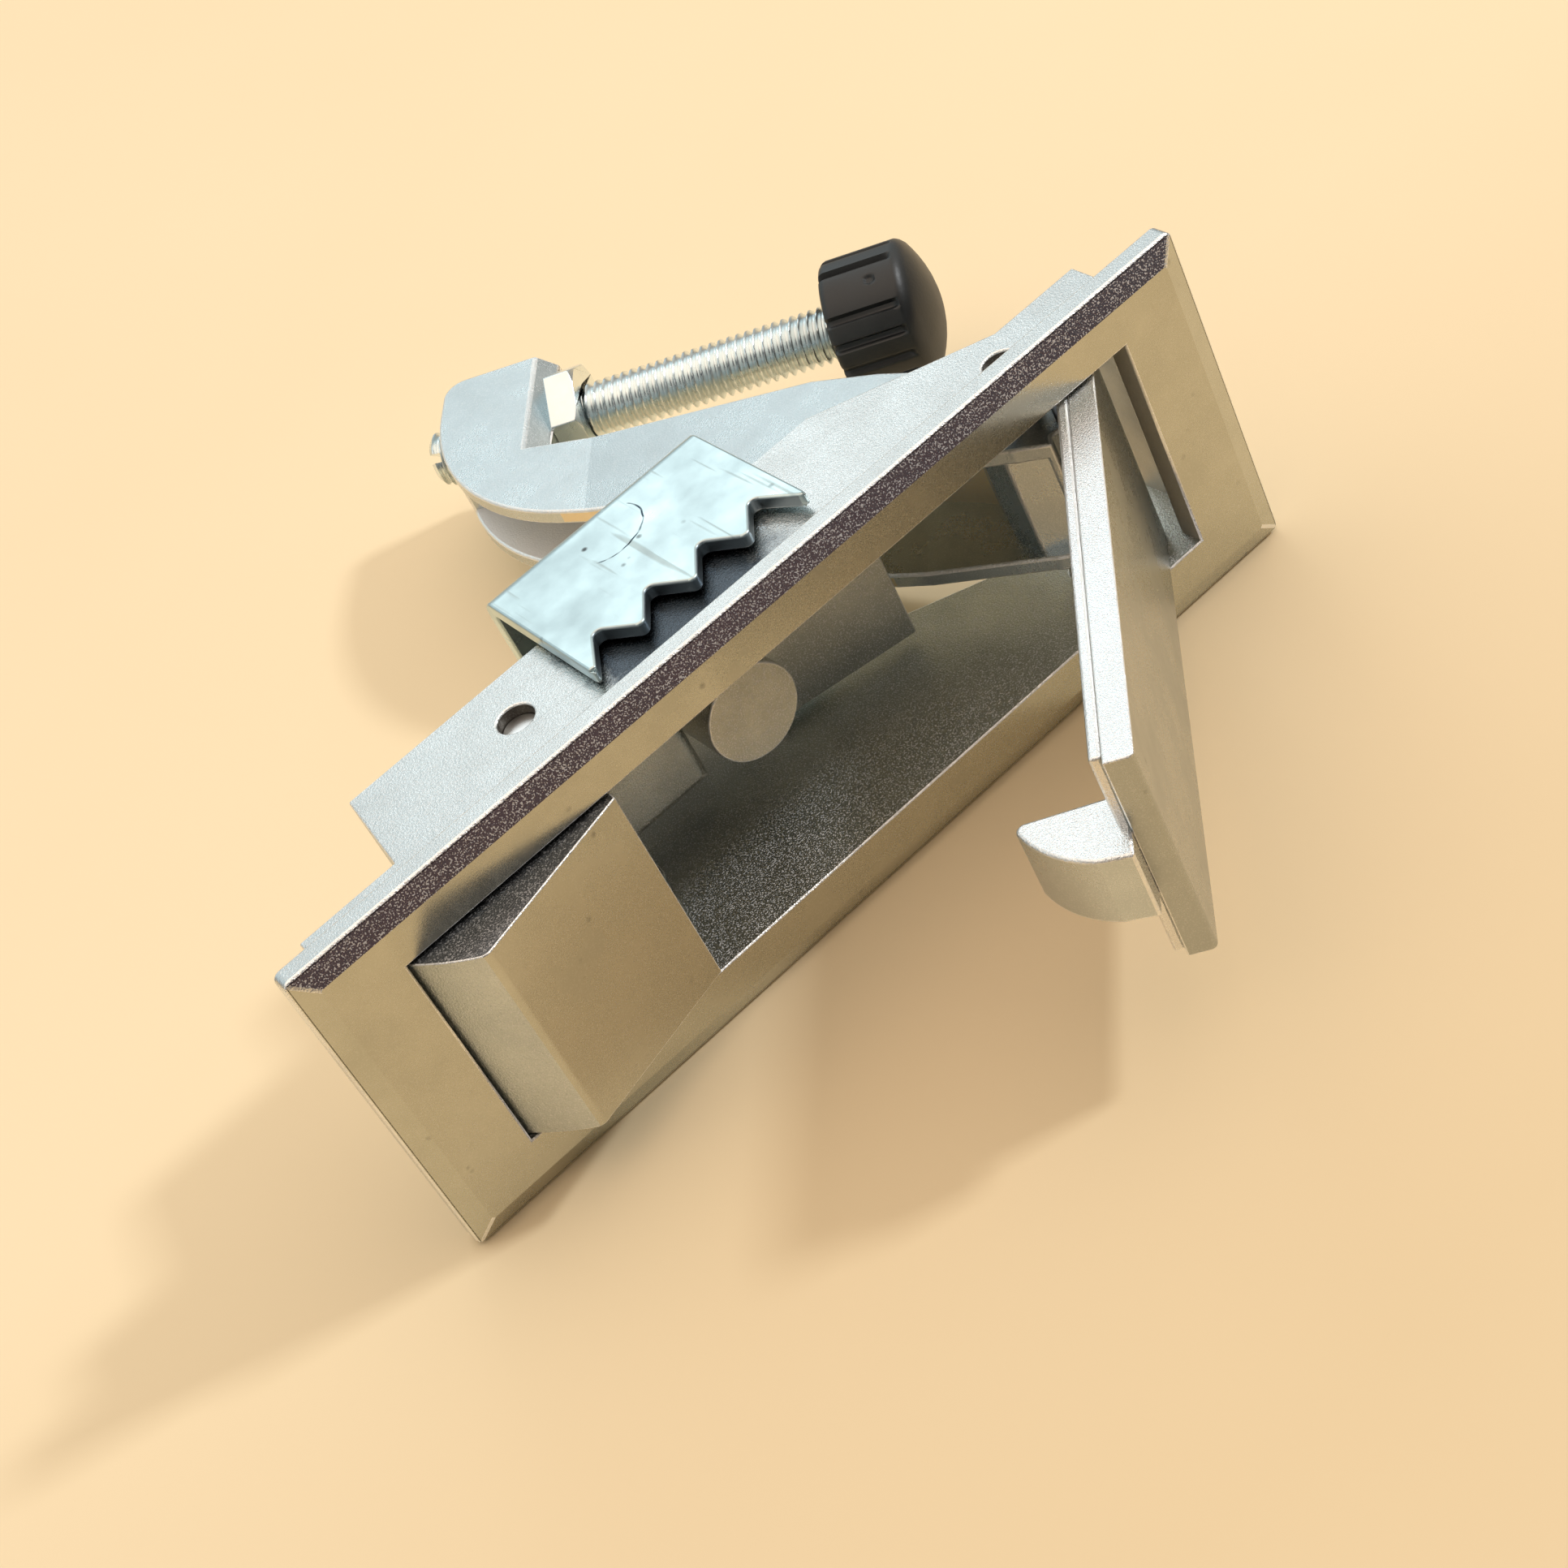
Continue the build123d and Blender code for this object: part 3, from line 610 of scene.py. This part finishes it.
def knob_mesh(name, around=320):
    """The grooved foot along -Y: round lands between the grooves, one wide land with a moulding dimple, and a dome.
    """
    step, first, wide = 22.4, 94.4, 116.8
    grooves = [first + step * i for i in range(16) if abs(first + step * i - wide) > 1.0]
    dimple, dimple_depth, groove_depth = Vector((113.2, 15.1)), 0.3, 0.55

    def hollow(angle, along):
        """How deep the grooves and the dimple go at a place on the side."""
        away = min(abs((angle - groove + 180) % 360 - 180) for groove in grooves)
        arc = math.radians(away) * KNOB_RADIUS
        groove = groove_depth * min(1.0, max(0.0, (0.52 - arc) / 0.22))
        spot = math.hypot(math.radians(angle - dimple.x) * KNOB_RADIUS, along - dimple.y)
        return groove + dimple_depth * min(1.0, max(0.0, (0.6 - spot) / 0.2))

    # Rows from the back to the dome: place along the bolt, radius, and how much of the groove's depth is cut
    rows = [(KNOB_BACK, BOLT_RADIUS, 0.0), (KNOB_BACK, 6.5, 0.7), (20.45, 6.9, 0.9), (20.2, 7.1, 1.0)]
    rows += [(19.9, KNOB_RADIUS, 1.0)] + [(19.7 - 0.25 * i, KNOB_RADIUS, 1.0) for i in range(26)]
    rows += [(13.1, KNOB_RADIUS, 0.8), (12.85, KNOB_RADIUS, 0.3), (12.6, KNOB_RADIUS, 0.0)]
    rows += [(12.4, 7.12, 0.0), (12.15, 6.98, 0.0)]
    for radius in (6.6, 6.0, 5.2, 4.3, 3.3, 2.2, 1.1):
        rows.append((KNOB_APEX + DOME_RADIUS - math.sqrt(DOME_RADIUS**2 - radius**2), radius, 0.0))
    rings = []
    for along, radius, share in rows:
        ring = []
        for i in range(around):
            angle = 360 * i / around
            reach = radius - share * hollow(angle, along)
            turn = math.radians(angle)
            ring.append((reach * math.cos(turn), along, reach * math.sin(turn)))
        rings.append(ring)
    return ring_mesh(name, rings, KNOB_BEND)


def slotted(mesh, place, width, depth, length):
    """Saws a screwdriver slot across the end of a rod."""
    rod = bpy.data.objects.new("rod", mesh)
    bpy.ops.mesh.primitive_cube_add(size=1.0, location=place * MM)
    saw = bpy.context.object
    saw.rotation_euler = (0, SLOT_TURN, 0)
    saw.scale = (length * MM, 2 * depth * MM, width * MM)
    bpy.context.scene.collection.objects.link(rod)
    slot = rod.modifiers.new("slot", "BOOLEAN")
    slot.operation = "DIFFERENCE"
    slot.object = saw
    bpy.context.view_layer.update()
    result = bpy.data.meshes.new_from_object(rod.evaluated_get(bpy.context.evaluated_depsgraph_get()))
    result.name = mesh.name + "_slotted"
    bpy.data.objects.remove(rod)
    bpy.data.objects.remove(saw)
    return result


# Each piece with its materials and the rounding of its edges in millimetres
HOUSING = (SMOOTH_PLATE, BOX_PLATE, RECESS_PLATE, BEVEL_PLATE, WALL_PLATE, HOLE_PLATE, LAND_PLATE, EDGE_PLATE)
BUTTON = (SMOOTH_PLATE, SKIRT_PLATE, CHEEK_PLATE, EDGE_PLATE)
COVER = (COVER_PLATE, ROUGH_PLATE, EDGE_PLATE)
LEVER = (ARM_PLATE, ROUGH_PLATE, INNER_PLATE, GRAIN_PLATE, CHANNEL_PLATE, EDGE_PLATE)
CLAMP = (ZINC_SHEET, ZINC_CUT)
dress("housing", HOUSING, 0.2, plating_of_housing)
dress("push_button", BUTTON, 0.13, plating_of_button)
dress("handle_cover", COVER, 0.15, plating_of_cover)
dress("latch_lever", LEVER, 0.3, plating_of_lever, reshape=crisp_block)
dress("clamp_bracket", CLAMP, 0.25, zinc_of_clamp, reshape=blunt_tips)
for pin in ("handle_pin", "button_pin"):
    dress(pin, (STEEL_PIN,), 0.1, reshape=sink_ends)
dress("lock_nut", (ZINC_THREAD,), 0.12)
for washer in ("clamp_washer", "clamp_spring_washer"):
    dress(washer, (ZINC_THREAD,), 0.1)
rivets = frame["nodes"]["handle_rivets"].data
rivets.materials.clear()
rivets.materials.append(GRAIN_PLATE)

part_spring("handle_spring", PINS[0], HANDLE_COIL_RADIUS, HANDLE_COIL_START, HANDLE_LIFT_ANGLE, "handle")
part_spring("button_spring", PINS[1], BUTTON_COIL_RADIUS, BUTTON_COIL_START, BUTTON_LIFT_ANGLE, "button")

bolt = thread_mesh("bolt_thread", BOLT_FROM, BOLT_TO, BOLT_RADIUS, BOLT_PITCH)
bolt = slotted(bolt, Vector((0, BOLT_TO, 0)), SLOT_WIDTH, SLOT_DEPTH, SLOT_LENGTH)
bolt.transform(OPENED @ Matrix.Translation((BOLT_OFFSET * MM, 0, 0)))
bolt.materials.clear()
bolt.materials.append(ZINC_THREAD)
place_piece("adjusting_bolt_thread", bolt, "adjusting_bolt")
knob = knob_mesh("knob_grooves")
knob.transform(OPENED @ Matrix.Translation((BOLT_OFFSET * MM, 0, 0)))
knob.materials.append(BLACK_PLASTIC)
place_piece("bolt_knob_grooved", knob, "bolt_knob")
dress("clamp_screw", (ZINC_THREAD,), 0.12)


# ---- stage ----
def make_floor():
    """A sheet of paper under the bezel's lower edge and the bracket's lower cheek."""
    lean = math.atan2(FLOOR_RISE, FLOOR_RUN)
    bpy.ops.mesh.primitive_plane_add(size=FLOOR_SIZE, location=(0, 0, FLOOR_HEIGHT * MM), rotation=(lean, 0, 0))
    floor = bpy.context.object
    floor.name = "floor"
    floor.data.materials.append(make_floor_paint())


def add_light(name, towards, distance, size, power, colour):
    """A softbox that faces the latch from a direction."""
    lamp = bpy.data.lights.new(name, "AREA")
    lamp.shape = "RECTANGLE"
    lamp.size, lamp.size_y = size
    lamp.energy = power
    lamp.color = colour
    light = bpy.data.objects.new(name, lamp)
    direction = Vector(towards).normalized()
    light.location = direction * distance
    light.rotation_mode = "QUATERNION"
    light.rotation_quaternion = direction.to_track_quat("Z", "Y")
    bpy.context.scene.collection.objects.link(light)


def make_world():
    """A studio that is bright overhead, cool behind the latch and dark round the photographer."""
    world = bpy.data.worlds.new("studio")
    world.use_nodes = True
    nodes, links = world.node_tree.nodes, world.node_tree.links
    back = nodes["Background"]
    where = nodes.new("ShaderNodeSeparateXYZ")
    sky = nodes.new("ShaderNodeTexCoord").outputs["Generated"]
    links.new(sky, where.inputs["Vector"])
    rise = maths(nodes, links, "MULTIPLY", where.outputs["Z"], 0.85)
    lean = maths(nodes, links, "MULTIPLY", where.outputs["Y"], 0.35)
    high = spread(nodes, links, maths(nodes, links, "ADD", rise, lean), -0.1, 0.7)
    far = spread(nodes, links, where.outputs["Y"], 0.2, 0.6)
    bright = mix_colour(nodes, links, far, (1.0, 0.93, 0.82), (0.76, 0.88, 0.91))
    overhead = spread(nodes, links, where.outputs["Z"], 0.72, 0.92)
    bright = mix_colour(nodes, links, overhead, bright, (1.5, 1.22, 1.0))
    right = spread(nodes, links, where.outputs["X"], 0.30, 0.48)
    left = spread(nodes, links, where.outputs["X"], 0.18, 0.02)
    dim = mix_colour(nodes, links, right, (0.100, 0.060, 0.064), (0.060, 0.076, 0.088))
    dim = mix_colour(nodes, links, left, dim, (0.078, 0.068, 0.068))
    colour = mix_colour(nodes, links, high, dim, bright)
    person = nodes.new("ShaderNodeVectorMath")
    person.operation = "DOT_PRODUCT"
    links.new(sky, person.inputs[0])
    person.inputs[1].default_value = (-0.16, -0.76, 0.63)
    near = spread(nodes, links, person.outputs["Value"], 0.90, 0.96)
    colour = mix_colour(nodes, links, near, colour, (0.035, 0.045, 0.055))
    links.new(colour, back.inputs["Color"])
    back.inputs["Strength"].default_value = 1.0
    bpy.context.scene.world = world


def make_camera():
    """The photograph's viewpoint."""
    lens = bpy.data.cameras.new("camera")
    lens.sensor_fit = "AUTO"
    lens.angle = CAMERA_ANGLE
    lens.clip_start, lens.clip_end = 0.01, 20.0
    camera = bpy.data.objects.new("camera", lens)
    turn = Matrix((CAMERA_RIGHT, -CAMERA_DOWN, -CAMERA_AHEAD)).transposed().to_4x4()
    camera.matrix_world = Matrix.Translation(CAMERA_PLACE) @ turn
    bpy.context.scene.collection.objects.link(camera)
    bpy.context.scene.camera = camera


make_floor()
make_world()
add_light(
    "key",
    towards=(0.747, -0.268, 0.606),
    distance=2.2,
    size=(0.20, 0.20),
    power=16.0,
    colour=(0.97, 1.0, 1.03),
)
add_light(
    "high_softbox",
    towards=(0.28, 0.735, 0.617),
    distance=0.85,
    size=(0.25, 0.25),
    power=0.25,
    colour=(0.97, 1.0, 1.0),
)
make_camera()
bpy.context.scene.view_settings.view_transform = "Standard"
